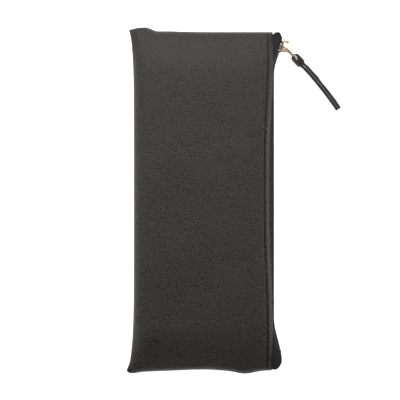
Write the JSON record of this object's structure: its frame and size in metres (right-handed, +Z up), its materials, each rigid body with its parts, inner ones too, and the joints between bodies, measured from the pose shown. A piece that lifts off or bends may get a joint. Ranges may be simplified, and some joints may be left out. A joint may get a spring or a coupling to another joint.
{
  "type": "fountain pen case",
  "caption": "Slim rectangular zip pouch for pens in soft black pebbled leather, zip along one long edge, with a gold slider and a folded leather pull strap.",
  "frame": {"origin": "centre of the flat resting face under the back panel", "axes": "+X towards the zip, +Y along the pouch towards the closed end of the zip, +Z up out of the front panel"},
  "size_m": [0.1201, 0.195, 0.013],
  "materials": {
    "black_leather": "soft satin, fine pebble grain",
    "strap_leather": "satin, smooth folded strip",
    "lining_fabric": "matt plain weave",
    "zip_tape": "matt woven tape",
    "zip_coil": "semi-gloss nylon",
    "gold_metal": "polished pale gold plating",
    "black_metal": "black enamel, semi-gloss",
    "spring_steel": "plain",
    "thread": "twisted polyester thread"
  },
  "bodies": {
    "back": {"back_panel": "black_leather", "back_lining": "lining_fabric", "back_zip_tape": "zip_tape", "back_coil": "zip_coil", "back_top_stop": "black_metal", "back_topstitch": "thread", "bottom_stop": "black_metal", "top_end_seam_thread": "thread", "bottom_end_seam_thread": "thread", "long_seam_thread": "thread"},
    "front": {"front_panel": "black_leather", "front_lining": "lining_fabric", "front_zip_tape": "zip_tape", "front_coil": "zip_coil", "front_top_stop": "black_metal", "front_topstitch": "thread"},
    "slider": {"slider_body": "gold_metal", "slider_cap": "gold_metal", "lock_spring": "spring_steel"},
    "ring": {"pull_ring": "gold_metal"},
    "strap": {"pull_strap": "strap_leather"}
  },
  "joints": [
    {"name": "zip_slide", "type": "slide", "parent": "back", "child": "slider", "axis": [0, -1, 0], "range_m": [0, 0.171], "deforming": ["back_coil"]},
    {"name": "mouth_open", "type": "hinge", "parent": "back", "child": "front", "pos_m": [-0.03855, 0, 0.005], "axis": [0, -1, 0], "range_deg": [0, 15], "deforming": ["front_zip_tape", "front_coil"]},
    {"name": "pull_swing", "type": "hinge", "parent": "slider", "child": "ring", "pos_m": [0.04795, 0.0889, 0.005], "axis": [0, 0, 1], "range_deg": [-28, 102]},
    {"name": "strap_swing", "type": "hinge", "parent": "ring", "child": "strap", "pos_m": [0.0546, 0.08291, 0.00406], "axis": [0, 0, 1], "range_deg": [-18, 25]}
  ],
  "couplings": [
    {"joint": "mouth_open", "follows": "zip_slide", "rad_per_m": 1.5309}
  ]
}
